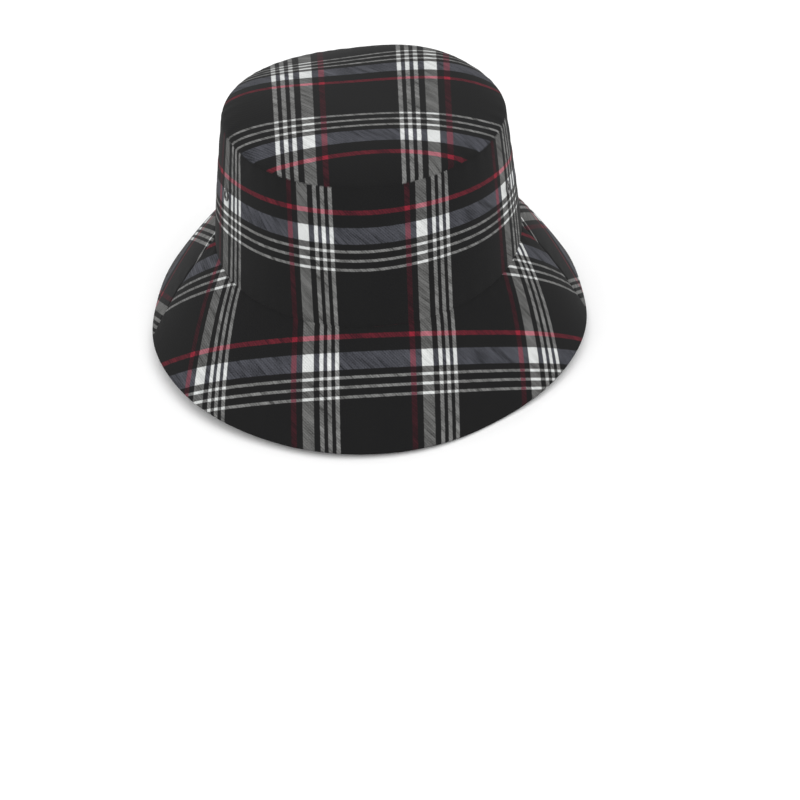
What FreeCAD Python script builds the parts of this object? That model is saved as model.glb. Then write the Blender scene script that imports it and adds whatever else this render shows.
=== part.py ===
import FreeCAD, Part
import math
import os

# A lined bucket hat in millimetres, +Z up, its front towards -Y. It stands on the edge of its
# brim, and the origin is under the middle of the hat, level with that edge.

# Driving dimensions of the outer cloth
HEAD_HALF_WIDTH = 86.0        # seam between crown and brim: half its width, along X
HEAD_HALF_LENGTH = 100.0      # the same seam: half its length, along Y
TIP_HALF_WIDTH = 75.5         # seam between the sides and the tip: half its width
TIP_HALF_LENGTH = 88.0        # the same seam: half its length
SIDE_HEIGHT = 71.0            # crown sides, upright from seam to seam
DOME_RISE = 10.0              # how far the tip is domed above its seam
BRIM_WIDTH = 64.0             # brim along its slope, from seam to edge
BRIM_SLOPE = math.radians(55.0)   # brim below the horizontal

# Cloth and thread
CLOTH = 0.7                   # printed twill of tip, sides and brim
INTERLINING = 0.5             # stiffener fused inside the brim
LINING = 0.4                  # thin cotton inside the crown
BAND_CLOTH = 0.5              # cotton of the folded sweatband
BAND_TAPE = 0.5               # non-woven tape inside the fold
LABEL_SATIN = 0.25
THREAD = 0.3                  # sewing thread, across
GAP = 0.15                    # air between two layers of the same assembly
SEAM_GAP = 0.1                # from a side seam's plane to each panel's edge

# Side seams: how far behind the widest line, at the crown and brim seam and level with the edge
SIDE_SEAM = (0.0, 0.0)
BRIM_SEAM = (5.0, 24.0)

# Where each layer of the crown sides lies, inward from the outer face
LINING_DEPTH = CLOTH + 0.5
BAND_DEPTH = LINING_DEPTH + LINING + 0.4
SIDE_THREAD_DEPTH = CLOTH + 0.25
BAND_THREAD_DEPTH = LINING_DEPTH + LINING + 0.2
BAND_THICKNESS = 2 * BAND_CLOTH + BAND_TAPE + 2 * GAP

# Where each layer of the brim lies, down from its upper face
INTERLINING_DEPTH = CLOTH + 0.1
BRIM_THREAD_DEPTH = INTERLINING_DEPTH + INTERLINING + 0.2
UNDER_DEPTH = BRIM_THREAD_DEPTH + 0.2
BRIM_THICKNESS = UNDER_DEPTH + CLOTH
TURNED_EDGE = 1.6             # cloth turned over at the brim's edge, along the slope

BAND_HEIGHT = 30.0            # sweatband, upright
LINING_DROP = 1.8             # top of the side lining below the tip seam
TIP_LINING_INSET = 2.2        # tip lining inside the tip seam, all round
TIP_LINING_DROP = 1.1         # its upper face below the tip's outer face

# Eyelets: two in each side, the same way round the seam
EYELET_OFFSET = math.radians(20.0)    # from the side seam, in the oval's own angle
EYELET_HEIGHT = 0.58          # up the sides, as a share of their height
EYELET_HOLE = 3.2             # bore
EYELET_BARREL = 4.2           # outside of the barrel
EYELET_FLANGE = 6.8           # rolled head on the outer cloth
EYELET_WALL_HOLE = 4.5        # hole punched through cloth and lining
EYELET_HEAD = 0.7             # how far the head stands out
WASHER_THICKNESS = 0.4

# Labels, both blank satin ribbon
SIZE_LABEL = (12.0, 16.0)     # width, height
CARE_LABEL = (24.0, 34.0)

BRIM_DROP = BRIM_WIDTH * math.sin(BRIM_SLOPE)
BRIM_REACH = BRIM_WIDTH * math.cos(BRIM_SLOPE)
EDGE_THICKNESS_DROP = BRIM_THICKNESS * math.cos(BRIM_SLOPE)
SEAM_LEVEL = BRIM_DROP + EDGE_THICKNESS_DROP    # height of the crown and brim seam
TIP_LEVEL = SEAM_LEVEL + SIDE_HEIGHT
FAR = 400.0                   # larger than the hat


def oval(half_width, half_length, level):
    """Closed elliptical edge, level, that starts at the back."""
    curve = Part.Ellipse(FreeCAD.Vector(0, 0, level), half_length, half_width)
    curve.rotate(FreeCAD.Placement(FreeCAD.Vector(0, 0, 0), FreeCAD.Vector(0, 0, 1), 90))
    return curve.toShape()


def ring(corners):
    """Closed ring whose section is a polygon: each corner is (half width, half length, level)."""
    ovals = [oval(*corner) for corner in corners]
    faces = [Part.makeRuledSurface(ovals[i - 1], ovals[i]) for i in range(len(ovals))]
    shell = Part.makeShell(faces)
    shell.sewShape()
    solid = Part.makeSolid(shell)
    if solid.Volume < 0:
        solid.reverse()
    return solid


def side_corner(height, depth):
    """Corner on the crown sides: height above the brim seam, depth in from the outer face."""
    share = height / SIDE_HEIGHT
    half_width = HEAD_HALF_WIDTH + (TIP_HALF_WIDTH - HEAD_HALF_WIDTH) * share - depth
    half_length = HEAD_HALF_LENGTH + (TIP_HALF_LENGTH - HEAD_HALF_LENGTH) * share - depth
    return half_width, half_length, SEAM_LEVEL + height


def brim_corner(along, depth):
    """Corner on the brim: distance down the slope from the seam, depth under the upper face."""
    reach = along * math.cos(BRIM_SLOPE) - depth * math.sin(BRIM_SLOPE)
    level = SEAM_LEVEL - along * math.sin(BRIM_SLOPE) - depth * math.cos(BRIM_SLOPE)
    return HEAD_HALF_WIDTH + reach, HEAD_HALF_LENGTH + reach, level


def side_layer(low, high, outer, inner):
    """Ring of the crown sides between two heights and two depths."""
    return ring([side_corner(low, outer), side_corner(high, outer),
                 side_corner(high, inner), side_corner(low, inner)])


def brim_layer(near, far, upper, lower):
    """Ring of the brim between two distances from the seam and two depths."""
    return ring([brim_corner(near, upper), brim_corner(far, upper),
                 brim_corner(far, lower), brim_corner(near, lower)])


def thread_ring(half_width, half_length, level):
    """Ring of sewing thread with a six-sided section."""
    corners = []
    for step in range(6):
        turn = math.radians(60 * step)
        out = THREAD / 2 * math.cos(turn)
        corners.append((half_width + out, half_length + out, level + THREAD / 2 * math.sin(turn)))
    return ring(corners)


def seam_slab(seam, low, high):
    """Slab along both side seams, between two distances behind the seam's plane."""
    at_crown, at_edge = seam
    lean = math.degrees(math.atan2(at_edge - at_crown, SEAM_LEVEL))
    slab = Part.makeBox(2 * FAR, high - low, 2 * FAR, FreeCAD.Vector(-FAR, low, -FAR))
    slab.rotate(FreeCAD.Vector(0, 0, 0), FreeCAD.Vector(1, 0, 0), lean)
    slab.translate(FreeCAD.Vector(0, at_crown, SEAM_LEVEL))
    return slab


def halves(whole, seam):
    """Front and back panel of a ring, parted at the side seams."""
    return {"front": whole.common(seam_slab(seam, -FAR, -SEAM_GAP)),
            "back": whole.common(seam_slab(seam, SEAM_GAP, FAR))}


def side_threads(layer, seam):
    """Thread down the left and the right side seam, as far as a thread-thin ring reaches."""
    both = layer.common(seam_slab(seam, -THREAD / 2, THREAD / 2))
    left = Part.makeBox(FAR, 2 * FAR, 2 * FAR, FreeCAD.Vector(0, -FAR, -FAR))
    return {"left": both.common(left), "right": both.cut(left)}


def dome(half_width, half_length, level, thickness):
    """Domed oval: it rises by DOME_RISE times one minus the cube of the share of the radius."""
    steps = 8
    upper = []
    for step in range(steps + 1):
        share = step / steps
        rise = DOME_RISE * (1 - share ** 3)
        upper.append(FreeCAD.Vector(share * half_width, 0, level + rise))
    lower = [point - FreeCAD.Vector(0, 0, thickness) for point in upper]
    top = Part.BSplineCurve()
    top.interpolate(upper)
    bottom = Part.BSplineCurve()
    bottom.interpolate(lower)
    rim = Part.makeLine(upper[-1], lower[-1])
    axis = Part.makeLine(lower[0], upper[0])
    profile = Part.Face(Part.Wire([top.toShape(), rim, bottom.toShape(), axis]))
    round_dome = profile.revolve(FreeCAD.Vector(0, 0, 0), FreeCAD.Vector(0, 0, 1), 360)
    stretch = FreeCAD.Matrix()
    stretch.scale(1, half_length / half_width, 1)
    return round_dome.transformGeometry(stretch)


def eyelet_places():
    """Name, foot and outward direction of each eyelet, on the outer face of the sides."""
    places = []
    corner = side_corner(EYELET_HEIGHT * SIDE_HEIGHT, 0)
    lean = math.atan2(HEAD_HALF_WIDTH - TIP_HALF_WIDTH, SIDE_HEIGHT)
    for side_name, side in (("left", 1), ("right", -1)):
        for end_name, end in (("front", -1), ("back", 1)):
            across = side * math.cos(EYELET_OFFSET)
            along = end * math.sin(EYELET_OFFSET)
            foot = FreeCAD.Vector(corner[0] * across, corner[1] * along, corner[2])
            level_normal = FreeCAD.Vector(across / corner[0], along / corner[1], 0).normalize()
            outward = level_normal * math.cos(lean) + FreeCAD.Vector(0, 0, math.sin(lean))
            places.append((side_name + "_" + end_name, foot, outward))
    return places


def barrel(foot, outward, radius, start, end):
    """Round bar about an eyelet's axis, between two distances out of the cloth."""
    return Part.makeCylinder(radius, end - start, foot + outward * start, outward)


def eyelet(foot, outward):
    """Rolled head and barrel in one, with the bore through it."""
    inside = -(LINING_DEPTH + LINING + WASHER_THICKNESS + 0.35)
    head = barrel(foot, outward, EYELET_FLANGE / 2, 0.1, EYELET_HEAD)
    head = head.makeFillet(0.3, [edge for edge in head.Edges if is_outer_rim(edge, foot, outward)])
    tube = barrel(foot, outward, EYELET_BARREL / 2, inside, 0.1)
    bore = barrel(foot, outward, EYELET_HOLE / 2, inside - 1, EYELET_HEAD + 1)
    return head.fuse(tube).cut(bore).removeSplitter()


def is_outer_rim(edge, foot, outward):
    """True for the round edge of a head that faces away from the cloth."""
    if not isinstance(edge.Curve, Part.Circle):
        return False
    return (edge.Curve.Center - foot).dot(outward) > EYELET_HEAD / 2


def eyelet_washer(foot, outward):
    """Ring that backs the eyelet against the lining."""
    near = -(LINING_DEPTH + LINING + 0.1)
    disc = barrel(foot, outward, EYELET_FLANGE / 2, near - WASHER_THICKNESS, near)
    hole = barrel(foot, outward, EYELET_BARREL / 2 + 0.05, near - 1, near + 1)
    return disc.cut(hole)


def punch(panel):
    """A panel of the crown sides with the eyelet holes through it."""
    for name, foot, outward in eyelet_places():
        panel = panel.cut(barrel(foot, outward, EYELET_WALL_HOLE / 2, -5, 5))
    return panel


def crown(parts):
    """Domed tip and the two side panels."""
    parts["crown_tip"] = dome(TIP_HALF_WIDTH, TIP_HALF_LENGTH, TIP_LEVEL + GAP + CLOTH, CLOTH)
    sides = halves(side_layer(GAP, SIDE_HEIGHT, 0, CLOTH), SIDE_SEAM)
    for end, panel in sides.items():
        parts["crown_side_" + end] = punch(panel)


def brim(parts):
    """Upper cloth with its turned edge, stiffener and under cloth, each in two halves."""
    inner = BRIM_WIDTH - TURNED_EDGE
    upper = ring([brim_corner(0, 0), brim_corner(BRIM_WIDTH, 0),
                  brim_corner(BRIM_WIDTH, BRIM_THICKNESS), brim_corner(inner, BRIM_THICKNESS),
                  brim_corner(inner, CLOTH), brim_corner(0, CLOTH)])
    stiffener = brim_layer(0, inner - THREAD * 4, INTERLINING_DEPTH, INTERLINING_DEPTH + INTERLINING)
    under = brim_layer(0, inner - GAP, UNDER_DEPTH, BRIM_THICKNESS)
    for node, whole in (("top", upper), ("interlining", stiffener), ("under", under)):
        for end, panel in halves(whole, BRIM_SEAM).items():
            parts["brim_" + node + "_" + end] = panel


def lining(parts):
    """Thin cotton bag inside the crown: its own tip and two side panels."""
    parts["lining_tip"] = dome(TIP_HALF_WIDTH - TIP_LINING_INSET, TIP_HALF_LENGTH - TIP_LINING_INSET,
                               TIP_LEVEL + GAP + CLOTH - TIP_LINING_DROP, LINING)
    sides = side_layer(GAP, SIDE_HEIGHT - LINING_DROP, LINING_DEPTH, LINING_DEPTH + LINING)
    for end, panel in halves(sides, SIDE_SEAM).items():
        parts["lining_side_" + end] = punch(panel)


def sweatband(parts):
    """Cotton folded over at its top, with a tape inside the fold."""
    outer = BAND_DEPTH
    inner = BAND_DEPTH + BAND_THICKNESS
    fold = BAND_HEIGHT - BAND_CLOTH
    parts["sweatband"] = ring([
        side_corner(GAP, outer), side_corner(BAND_HEIGHT, outer),
        side_corner(BAND_HEIGHT, inner), side_corner(GAP, inner),
        side_corner(GAP, inner - BAND_CLOTH), side_corner(fold, inner - BAND_CLOTH),
        side_corner(fold, outer + BAND_CLOTH), side_corner(GAP, outer + BAND_CLOTH)])
    tape_depth = outer + BAND_CLOTH + GAP
    parts["sweatband_tape"] = side_layer(1, fold - GAP, tape_depth, tape_depth + BAND_TAPE)


def seam_threads(parts):
    """Thread of each closed seam, laid in the space between its layers."""
    parts["tip_seam_thread"] = thread_ring(*side_corner(SIDE_HEIGHT - 0.4, SIDE_THREAD_DEPTH))
    parts["lining_tip_thread"] = thread_ring(
        *side_corner(SIDE_HEIGHT - LINING_DROP - 0.6, BAND_THREAD_DEPTH))
    parts["crown_brim_thread"] = thread_ring(*side_corner(GAP + 0.4, SIDE_THREAD_DEPTH))
    parts["sweatband_thread"] = thread_ring(*side_corner(GAP + 1.2, BAND_THREAD_DEPTH))
    edge = BRIM_WIDTH - TURNED_EDGE - 2 * THREAD
    parts["brim_edge_thread"] = thread_ring(*brim_corner(edge, BRIM_THREAD_DEPTH))


def side_seam_threads(parts):
    """Thread of the side seams: sides, lining and brim."""
    sides = side_layer(2, SIDE_HEIGHT - 2, *thread_depths(SIDE_THREAD_DEPTH))
    lining_sides = side_layer(3, SIDE_HEIGHT - LINING_DROP - 2, *thread_depths(BAND_THREAD_DEPTH))
    brim_layers = brim_layer(1, BRIM_WIDTH - 5, *thread_depths(BRIM_THREAD_DEPTH))
    for node, layer, seam in (("side", sides, SIDE_SEAM), ("lining", lining_sides, SIDE_SEAM),
                              ("brim", brim_layers, BRIM_SEAM)):
        for side, thread in side_threads(layer, seam).items():
            parts[node + "_seam_thread_" + side] = thread


def thread_depths(middle):
    """Outer and inner depth of a thread whose middle lies at a depth."""
    return middle - THREAD / 2, middle + THREAD / 2


def label(layer, low, size, middle):
    """Blank ribbon: the part of a thin ring inside a box round its middle (x, y)."""
    width, height = size
    reach = 15.0
    if middle[0]:
        span = (reach, width)
    else:
        span = (width, reach)
    box = Part.makeBox(span[0], span[1], height, FreeCAD.Vector(
        middle[0] - span[0] / 2, middle[1] - span[1] / 2, SEAM_LEVEL + low))
    return layer.common(box)


def labels(parts):
    """Size label on the sweatband at the back, care label on the lining at the left side."""
    low = BAND_HEIGHT - SIZE_LABEL[1] - 6
    depth = BAND_DEPTH + BAND_THICKNESS + GAP
    layer = side_layer(low - 1, low + SIZE_LABEL[1] + 1, depth, depth + LABEL_SATIN)
    middle = (0, side_corner(low, depth)[1])
    parts["size_label"] = label(layer, low, SIZE_LABEL, middle)
    low = BAND_HEIGHT + 1
    depth = LINING_DEPTH + LINING + THREAD + GAP
    layer = side_layer(low - 1, low + CARE_LABEL[1] + 1, depth, depth + LABEL_SATIN)
    middle = (side_corner(low, depth)[0], 0)
    parts["care_label"] = label(layer, low, CARE_LABEL, middle)


def eyelets(parts):
    """Four eyelets and their washers."""
    for name, foot, outward in eyelet_places():
        parts["eyelet_" + name] = eyelet(foot, outward)
        parts["eyelet_washer_" + name] = eyelet_washer(foot, outward)


def build():
    """Every piece of the hat by name."""
    parts = {}
    for make in (crown, brim, lining, sweatband, seam_threads, side_seam_threads, labels, eyelets):
        make(parts)
    return parts


os.makedirs("parts", exist_ok=True)
for node, shape in build().items():
    shape.exportStep("parts/" + node + ".step")
    box = shape.BoundBox
    print("%-24s solids %d valid %s volume %9.1f  z %.2f to %.2f" % (
        node, len(shape.Solids), shape.isValid(), shape.Volume, box.ZMin, box.ZMax))
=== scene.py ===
import math
import bpy
import numpy as np
from mathutils import Matrix, Vector


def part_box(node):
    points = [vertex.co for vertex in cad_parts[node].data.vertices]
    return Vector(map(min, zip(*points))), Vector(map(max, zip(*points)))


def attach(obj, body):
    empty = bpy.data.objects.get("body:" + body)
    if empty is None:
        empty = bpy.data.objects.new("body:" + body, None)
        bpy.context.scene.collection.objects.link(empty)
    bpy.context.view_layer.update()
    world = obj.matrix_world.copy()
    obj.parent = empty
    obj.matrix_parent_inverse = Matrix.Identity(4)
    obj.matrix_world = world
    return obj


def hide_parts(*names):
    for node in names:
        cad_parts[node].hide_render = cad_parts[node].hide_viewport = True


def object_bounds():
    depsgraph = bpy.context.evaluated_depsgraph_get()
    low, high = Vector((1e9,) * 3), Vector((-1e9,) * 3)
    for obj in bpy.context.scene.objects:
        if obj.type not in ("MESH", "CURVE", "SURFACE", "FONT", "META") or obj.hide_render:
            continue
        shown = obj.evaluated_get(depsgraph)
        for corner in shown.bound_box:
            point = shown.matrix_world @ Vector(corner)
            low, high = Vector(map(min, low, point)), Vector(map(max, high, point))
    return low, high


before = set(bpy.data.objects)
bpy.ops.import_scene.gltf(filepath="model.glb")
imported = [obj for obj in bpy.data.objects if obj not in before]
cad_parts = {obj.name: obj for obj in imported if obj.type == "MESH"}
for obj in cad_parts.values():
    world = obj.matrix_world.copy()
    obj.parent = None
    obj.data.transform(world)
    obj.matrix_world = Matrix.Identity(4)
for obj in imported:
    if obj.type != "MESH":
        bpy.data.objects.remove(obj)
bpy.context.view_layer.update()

# A lined bucket hat in a plaid print. Shapes are worked out in millimetres, +Z up, the front
# towards -Y, and go into the meshes in metres. A "turn" is the angle round the hat, from the
# middle of the back towards the wearer's left. A "share" runs down each face of the hat: on the
# tip from its middle to its seam, on the sides from the tip seam to the brim, on the brim from
# the crown to the edge. A "depth" is how far a layer lies under the outer face.
MM = 0.001
CAD_GAP = 0.15

# Crown
SEAM_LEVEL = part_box("crown_side_back")[0][2] / MM - CAD_GAP
SEAM_HALF = (86.0, 99.6)            # seam between crown and brim: half width, half length
TIP_HALF = (75.3, 87.9)             # seam between sides and tip
TIP_MIDDLE = (0.0, -2.0, 69.9)      # its middle, over the middle of the brim seam
TIP_LEAN = (0.0096, 0.0422)         # how fast that seam rises to the left and to the back
SIDE_HEIGHT = 71.0                  # from seam to seam
SIDE_BULGE = 0.3
DOME_RISE = 12.8                    # middle of the tip above its seam
DOME_POWERS = (3.54, 0.84)          # how full the dome is, and how steep at its seam
TIP_WAVES = ((2, -0.013, -0.003), (3, 0.016, 0.005))    # order, cosine, sine: see uneven
DOME_WAVES = ((1, -0.09, -0.14), (2, 0.02, 0.26), (3, 0.13, -0.34))

# Brim: its width, and its slope every 30 degrees of turn, from the middle of the back
BRIM_WIDTH = (64.4, 1.2, 0.2)       # mean, and what cos(turn) and cos(2 turn) add
BRIM_SLOPES = (56.5, 54.0, 48.5, 51.0, 48.0, 50.0, 52.0, 52.0, 52.5, 53.5, 54.5, 60.0)
BRIM_CURL = math.radians(9.8)       # how much steeper it gets from seam to edge
BRIM_SEAM_LEFT = (86.0, 76.0)       # side seam's turn at the crown and at the edge, in degrees
BRIM_SEAM_RIGHT = (-88.0, -84.0)
BRIM_LAID = 63.5                    # brim's width on the flat cloth
BRIM_REACH = 37.0                   # how far out its edge is from its seam, level

# Mean distance from the hat's axis, which turns an angle into a distance round the hat
TIP_REACH = 80.0                    # from the tip's middle to its seam
TIP_RADIUS = 82.0
SIDE_RADIUS = 84.0
SEAM_RADIUS = 93.0
EDGE_RADIUS = 110.0

# Layers
CLOTH = 0.7
LINING = 0.4
INTERLINING = 0.5
LINING_DEPTH = 1.2
BAND_DEPTH = 2.0
BAND_THICKNESS = 1.8
BAND_CLOTH = 0.5
BAND_HEIGHT = 30.0
BAND_ROUND = 560.0                  # length of the sweatband round the opening
TAPE = 0.5
THREAD_RADIUS = 0.12
STITCH_RADIUS = 0.19
BRIM_THICKNESS = 2.4
TURNED_EDGE = 1.6
UNDER_DEPTH = BRIM_THICKNESS - CLOTH
LABEL = 0.25
SEAM_GAP = 0.1                      # from a side seam's plane to each panel's edge

FULL_TURN = 2 * math.pi
FLOOR_GAP = 0.0002                  # metres from the hat's lowest point down to the floor


# ---------------------------------------------------------------- faces of the hat

def periodic(values, turn):
    """Smooth closed curve through evenly spaced values: their Fourier series at each turn."""
    waves = np.fft.rfft(np.asarray(values)) / len(values)
    total = np.full_like(turn, waves[0].real)
    for order, wave in enumerate(waves[1:], start=1):
        weight = 1 if 2 * order == len(values) else 2
        total = total + weight * (wave.real * np.cos(order * turn) - wave.imag * np.sin(order * turn))
    return total


def seam_point(turn):
    """Crown and brim seam: an oval, half width times sine and half length times cosine."""
    return np.stack([SEAM_HALF[0] * np.sin(turn), SEAM_HALF[1] * np.cos(turn),
                     np.full_like(turn, SEAM_LEVEL)], -1)


def outward(turn):
    """Level unit normal of that oval."""
    normal = np.stack([np.sin(turn) / SEAM_HALF[0], np.cos(turn) / SEAM_HALF[1],
                       np.zeros_like(turn)], -1)
    return normal / np.linalg.norm(normal, axis=-1, keepdims=True)


def uneven(waves, turn, share=1.0):
    """One plus waves round the hat: each has an order, what its cosine and its sine weigh, and
    grows with the share to the power of its order."""
    return 1 + sum(share ** order * (cosine * np.cos(order * turn) + sine * np.sin(order * turn))
                   for order, cosine, sine in waves)


def tip_point(turn, share=1.0):
    """Tip seam: a slightly uneven oval in a plane that leans, shrunk about its middle."""
    reach = uneven(TIP_WAVES, turn) * share
    x = TIP_MIDDLE[0] + TIP_HALF[0] * np.sin(turn) * reach
    y = TIP_MIDDLE[1] + TIP_HALF[1] * np.cos(turn) * reach
    level = SEAM_LEVEL + TIP_MIDDLE[2] + TIP_LEAN[0] * x + TIP_LEAN[1] * y
    return np.stack([x, y, level], -1)


def tip_face(turn, share):
    """Domed tip: the leaning oval, raised by one less a power of the share, to another power,
    more in some directions than in others."""
    point = tip_point(turn, share)
    full, edge = DOME_POWERS
    rise = DOME_RISE * np.clip(1 - np.clip(share, 0, 1) ** full, 0, 1) ** edge
    point[..., 2] += rise * uneven(DOME_WAVES, turn, share)
    return point


def side_face(turn, share):
    """Crown side: straight from the tip seam to the brim seam, with a slight bulge between."""
    top = tip_point(turn)
    foot = seam_point(turn)
    middle = 4 * share * (1 - share)
    wave = 0.35 * np.sin(5 * turn + 0.7) + 0.25 * np.sin(9 * turn + 2.1)
    bulge = (SIDE_BULGE + wave) * middle
    return top + (foot - top) * share[..., None] + outward(turn) * bulge[..., None]


def brim_width(turn):
    """Brim from seam to edge: widest at the back, narrowest at the sides."""
    mean, once, twice = BRIM_WIDTH
    return mean + once * np.cos(turn) + twice * np.cos(2 * turn)


def brim_slope(turn):
    """Brim's angle below the level, half way down: a smooth curve with a slight wave."""
    wave = 0.35 * np.sin(7 * turn + 0.4) + 0.25 * np.sin(12 * turn + 2.0)
    return np.radians(periodic(BRIM_SLOPES, turn) + wave)


def brim_face(turn, share):
    """Brim: from the seam outward and down, on an arc that steepens evenly to the edge."""
    width = brim_width(turn)
    start = brim_slope(turn) - BRIM_CURL / 2
    end = start + BRIM_CURL * share
    reach = width * (np.sin(end) - np.sin(start)) / BRIM_CURL
    drop = width * (np.cos(start) - np.cos(end)) / BRIM_CURL
    point = seam_point(turn) + outward(turn) * reach[..., None]
    point[..., 2] -= drop
    return point


def layer(face, turn, share, depth):
    """A face moved inward: its points less their unit normals times the depth."""
    turn, share, depth = np.broadcast_arrays(turn, share, depth)
    step = 1e-3
    around = face(turn + step, share) - face(turn - step, share)
    down = face(turn, share + step) - face(turn, share - step)
    normal = np.cross(around, down)
    normal /= np.linalg.norm(normal, axis=-1, keepdims=True)
    return face(turn, share) - normal * depth[..., None]


# ---------------------------------------------------------------- cloth laid flat

REPEAT = 62.0                       # plaid's repeat, both ways
SPAN = 60.0                         # length that the numbers in PRINTS count in


def unroll(curl, turn, middle):
    """Seam line laid flat from a panel's middle: the heading is the sum of the seam's turning
    times a curl, and the line is the sum of its steps along that heading. Gives the heading and
    the two flat distances at each turn."""
    fine = np.linspace(middle - 2.0, middle + 2.0, 4001)
    step = fine[1] - fine[0]
    pace = np.hypot(SEAM_HALF[0] * np.cos(fine), SEAM_HALF[1] * np.sin(fine))
    bend = SEAM_HALF[0] * SEAM_HALF[1] / pace ** 2
    centre = len(fine) // 2

    def summed(rate):
        total = np.concatenate([[0], np.cumsum((rate[1:] + rate[:-1]) / 2) * step])
        return total - total[centre]

    heading = summed(bend * curl(fine))
    right = -summed(pace * np.cos(heading))
    up = summed(pace * np.sin(heading))
    return [np.interp(turn, fine, values) for values in (heading, right, up)]


def flat_brim(turn, share, middle):
    """Where a point of the brim lies on the flat cloth, in millimetres right and up."""
    heading, right, up = unroll(lambda fine: np.cos(brim_slope(fine)), turn, middle)
    reach = brim_width(turn) * share
    return np.stack([right - reach * np.sin(heading), up - reach * np.cos(heading)], -1)


def flat_side(turn, share, middle):
    """Where a point of a crown side lies on the flat cloth."""
    def lean(fine):
        gap = seam_point(fine) - tip_point(fine)
        return np.hypot(gap[:, 0], gap[:, 1]) / np.linalg.norm(gap, axis=-1)

    heading, right, up = unroll(lean, turn, middle)
    height = SIDE_HEIGHT * (1 - share)
    return np.stack([right + height * np.sin(heading), up + height * np.cos(heading)], -1)


def flat_tip(turn, share):
    """Where a point of the tip lies on the flat cloth, seen from above with the front upward."""
    point = tip_face(turn, share)
    return -point[..., :2]


def print_place(flat, right, up):
    """Print coordinates in metres. With u and v the flat distances right and up in spans, each
    is a number of repeats: first + second u + third v + fourth u v, then + fifth u cubed for
    the one to the right, and + fifth u squared for the one up."""
    u, v = flat[..., 0] / SPAN, flat[..., 1] / SPAN
    across = right[0] + right[1] * u + right[2] * v + right[3] * u * v + right[4] * u ** 3
    height = up[0] + up[1] * u + up[2] * v + up[3] * u * v + up[4] * u ** 2
    return np.stack([across, height], -1) * REPEAT * MM


# ---------------------------------------------------------------- meshes

def mesh_object(name, points, faces, corner_prints=None):
    """New object at the origin from points in millimetres and faces of any size. Its edges are
    sharp past 50 degrees."""
    mesh = bpy.data.meshes.new(name)
    mesh.from_pydata((points * MM).tolist(), [], [face.tolist() for face in faces])
    if corner_prints is not None:
        uv = mesh.uv_layers.new(name="cloth")
        uv.data.foreach_set("uv", np.concatenate(corner_prints).ravel())
    mesh.validate()
    mesh.shade_smooth()
    mesh.set_sharp_from_angle(angle=math.radians(50))
    made = bpy.data.objects.new(name, mesh)
    bpy.context.scene.collection.objects.link(made)
    return made


def panel(name, outer, inner, prints=None, closed=False, pole=False):
    """Thin closed solid between two grids of points, with strips round its rims. A closed panel
    meets itself round the hat. A pole is a first column whose points all fall together, closed
    with one face on each side."""
    count, width, _ = outer.shape
    index = np.arange(2 * count * width).reshape(2, count, width)
    if closed:
        index = np.concatenate([index, index[:, :1]], 1)
    out, back = index

    def quads(a, b, c, d):
        return np.stack([a, b, c, d], -1).reshape(-1, 4)

    faces = [quads(out[:-1, :-1], out[1:, :-1], out[1:, 1:], out[:-1, 1:]),
             quads(back[:-1, :-1], back[:-1, 1:], back[1:, 1:], back[1:, :-1]),
             quads(out[:-1, -1], out[1:, -1], back[1:, -1], back[:-1, -1])]
    if not pole:
        faces.append(quads(out[:-1, 0], back[:-1, 0], back[1:, 0], out[1:, 0]))
    if not closed:
        faces.append(quads(out[0, :-1], out[0, 1:], back[0, 1:], back[0, :-1]))
        faces.append(quads(out[-1, :-1], back[-1, :-1], back[-1, 1:], out[-1, 1:]))
    rows = [row for block in faces for row in block]
    if pole:
        rows.append(out[:-1, 0][::-1])
        rows.append(back[:-1, 0])
    points = np.concatenate([outer.reshape(-1, 3), inner.reshape(-1, 3)])
    corner_prints = None
    if prints is not None:
        flat = np.concatenate([prints.reshape(-1, 2)] * 2)
        corner_prints = [flat[row] for row in rows]
    return mesh_object(name, points, rows, corner_prints)


def hoop(name, rings, closed=True):
    """Closed tube through rings of points, one ring per step. An open tube gets flat ends."""
    count, sides, _ = rings.shape
    index = np.arange(count * sides).reshape(count, sides)
    if closed:
        index = np.concatenate([index, index[:1]])
    index = np.concatenate([index, index[:, :1]], 1)
    faces = np.stack([index[:-1, :-1], index[:-1, 1:], index[1:, 1:], index[1:, :-1]], -1)
    rows = list(faces.reshape(-1, 4))
    if not closed:
        rows += [index[0, :-1][::-1], index[-1, :-1]]
    return mesh_object(name, rings.reshape(-1, 3), rows)


def spread(length, spacing):
    """Distances from 0 to a length, fine at both ends and evenly spaced between."""
    near = np.array([0, 0.25, 0.5, 0.8, 1.15, 1.6, 2.2, 3.0])
    count = max(2, round((length - 2 * near[-1]) / spacing))
    middle = np.linspace(near[-1], length - near[-1], count + 1)[1:-1]
    return np.concatenate([near, middle, (length - near)[::-1]])


def pucker(distance, along, height=0.16, reach=5.0):
    """Cloth drawn up by a seam: uneven waves along it that die away from it."""
    wave = (np.sin(along / 1.45 + 1.4 * np.sin(along / 7.3)) + 0.6 * np.sin(along / 2.3 + 0.8))
    return height * wave * np.exp(-distance / reach) * (1 - np.exp(-distance / 1.2))


def turned_in(distance, dip=0.55, reach=0.9):
    """Cloth that rolls under where it is sewn: a short dip next to the seam."""
    return dip * np.exp(-(distance / reach) ** 2)


# ---------------------------------------------------------------- materials

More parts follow.
